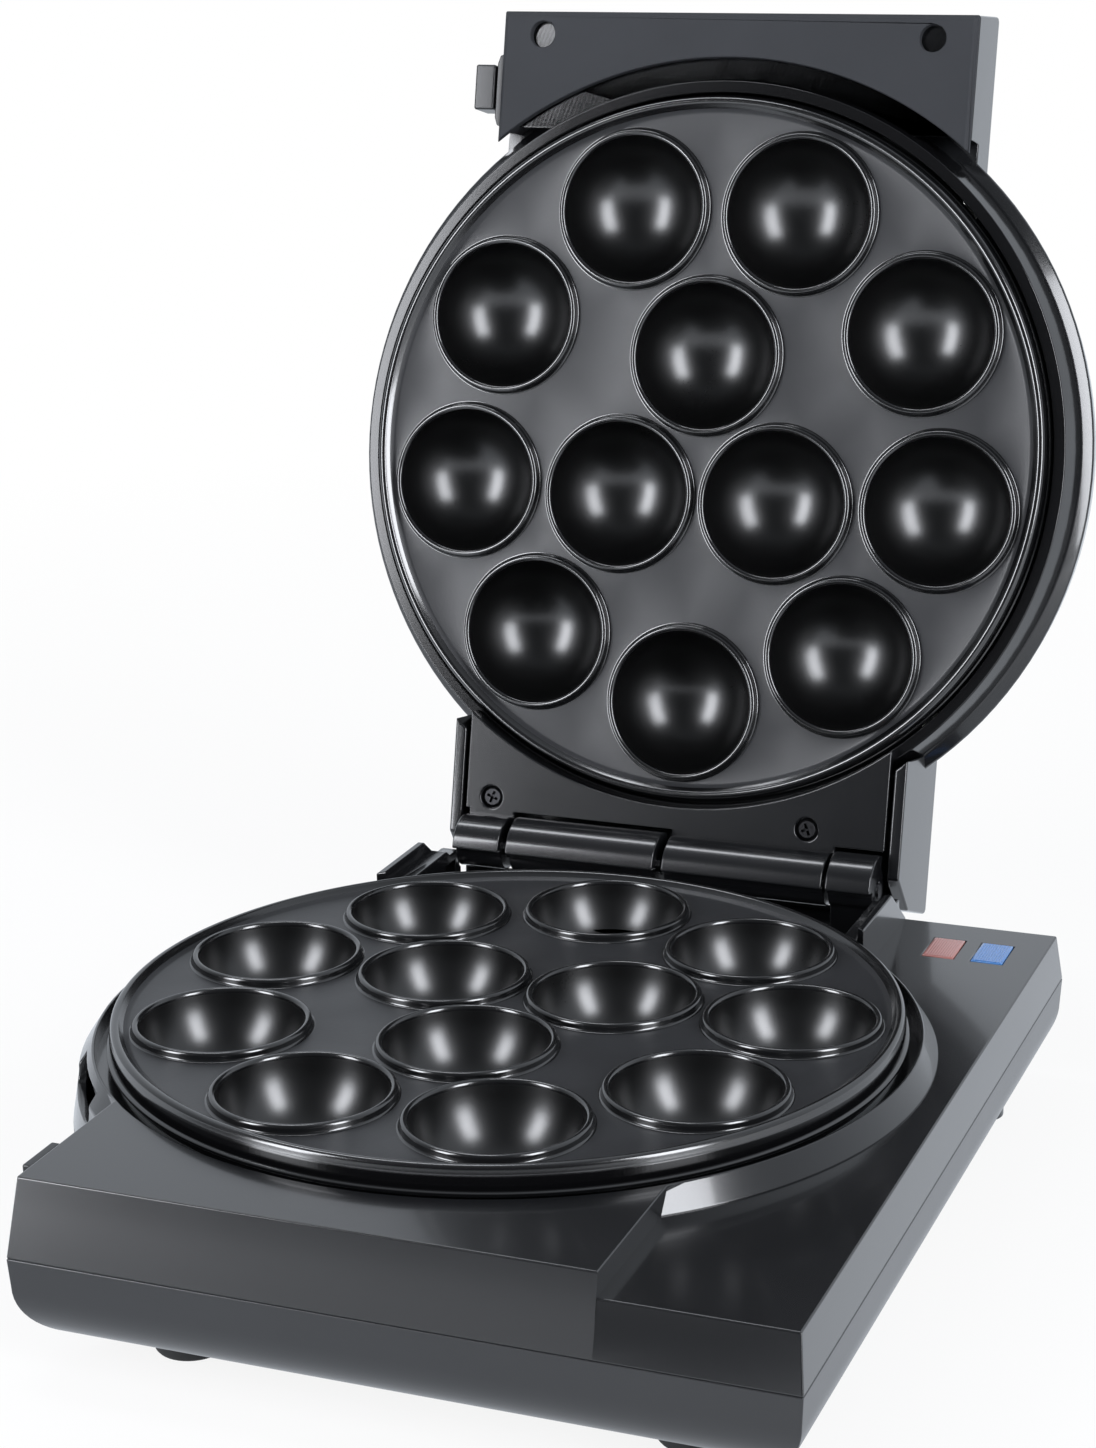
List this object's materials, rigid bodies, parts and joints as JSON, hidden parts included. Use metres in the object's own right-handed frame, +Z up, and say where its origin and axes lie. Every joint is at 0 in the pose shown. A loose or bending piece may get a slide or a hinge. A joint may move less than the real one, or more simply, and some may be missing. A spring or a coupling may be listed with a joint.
{
  "type": "cake pop maker",
  "caption": "Electric cake pop maker with a hinged lid, two round plates of half-round cups, a slab base with indicator windows, and a release slider in each half.",
  "frame": {"origin": "on the table, under the middle of the outline of the part with its lid open", "axes": "+Z up, +Y from the front towards the hinge, +X to the right seen from the front"},
  "size_m": [0.2201, 0.3236, 0.2761],
  "materials": {
    "black_shell": "satin",
    "dark_tray": "satin",
    "anthracite_cover": "satin",
    "black_gloss": "polished",
    "nonstick_plate": "non-stick coating, satin",
    "reflector_sheet": "bright",
    "element_sheath": "dull",
    "spring_steel": "dull",
    "zinc_steel": "zinc plated",
    "ceramic_white": "matt",
    "nylon_white": "matt",
    "wire_insulation": "matt",
    "red_window": "translucent",
    "blue_window": "translucent",
    "lamp_glass": "clear",
    "foot_rubber": "matt"
  },
  "bodies": {
    "base": {"base_top_shell": "black_shell", "base_bottom_shell": "dark_tray", "base_plate": "nonstick_plate", "base_reflector": "reflector_sheet", "base_element": "element_sheath", "base_element_clips": "spring_steel", "base_thermostat": "ceramic_white", "base_thermal_fuse": "ceramic_white", "terminal_block": "nylon_white", "base_wiring": "wire_insulation", "lamp_lens_red": "red_window", "lamp_lens_blue": "blue_window", "lamp_bulbs": "lamp_glass", "lamp_holder": "nylon_white", "base_latch_spring": "spring_steel", "feet": "foot_rubber", "housing_screws": "zinc_steel", "hinge_pin": "zinc_steel", "cord_gland": "foot_rubber"},
    "lid": {"lid_outer_shell": "black_shell", "lid_inner_frame": "black_gloss", "lid_handle_cover": "anthracite_cover", "lid_hinge_plate": "anthracite_cover", "lid_plate": "nonstick_plate", "lid_reflector": "reflector_sheet", "lid_element": "element_sheath", "lid_element_clips": "spring_steel", "lid_thermal_fuse": "ceramic_white", "lid_slider_bezel": "black_gloss", "lid_latch_spring": "spring_steel", "handle_screws": "zinc_steel", "hinge_plate_screws": "zinc_steel", "lid_frame_screws": "zinc_steel"},
    "base_slider": {"base_release_slider": "black_gloss"},
    "lid_slider": {"lid_release_slider": "black_gloss"}
  },
  "joints": [
    {"name": "lid_hinge", "type": "hinge", "parent": "base", "child": "lid", "pos_m": [-0.0029, 0.07729, 0.04806], "axis": [1, 0, 0], "range_deg": [0, 102.5]},
    {"name": "base_slider_travel", "type": "slide", "parent": "base", "child": "base_slider", "axis": [0, 1, 0], "range_m": [0, 0.005], "stiffness_N_per_m": 200, "springref_m": -0.002, "deforming": ["base_latch_spring"]},
    {"name": "lid_slider_travel", "type": "slide", "parent": "lid", "child": "lid_slider", "axis": [0, 0.2188, 0.9758], "range_m": [0, 0.005], "stiffness_N_per_m": 200, "springref_m": -0.002, "deforming": ["lid_latch_spring"]}
  ]
}
